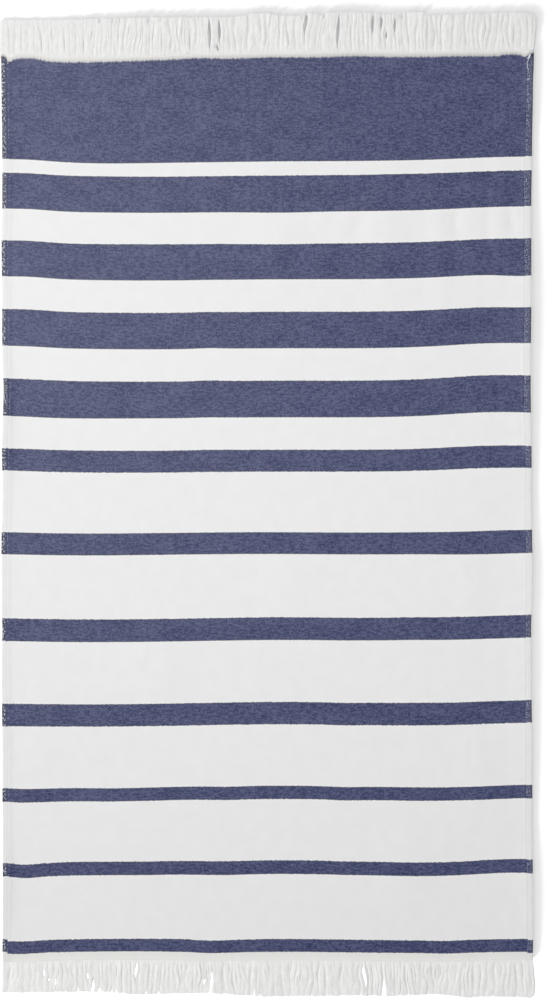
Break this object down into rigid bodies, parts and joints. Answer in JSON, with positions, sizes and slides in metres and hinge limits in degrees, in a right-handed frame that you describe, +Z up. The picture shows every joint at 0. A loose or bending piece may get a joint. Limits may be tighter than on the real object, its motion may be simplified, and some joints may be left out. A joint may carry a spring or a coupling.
{
  "type": "beach towel",
  "caption": "Flat woven beach towel lying open, white with navy cross bands that narrow towards one end, stitched side hems and a loose white fringe at both ends.",
  "frame": {"origin": "centre of the towel's outline, fringes included, on the surface that it lies on", "axes": "+X across the towel, +Y along it towards the widest band, +Z up"},
  "size_m": [0.908, 1.6782, 0.0072],
  "materials": {
    "cloth": "matt woven cotton, white with heathered navy bands",
    "fringe_yarn": "matt off-white loose cotton yarn"
  },
  "bodies": {
    "root": {"towel_cloth": "cloth", "fringe_head": "fringe_yarn", "fringe_foot": "fringe_yarn"}
  },
  "joints": []
}
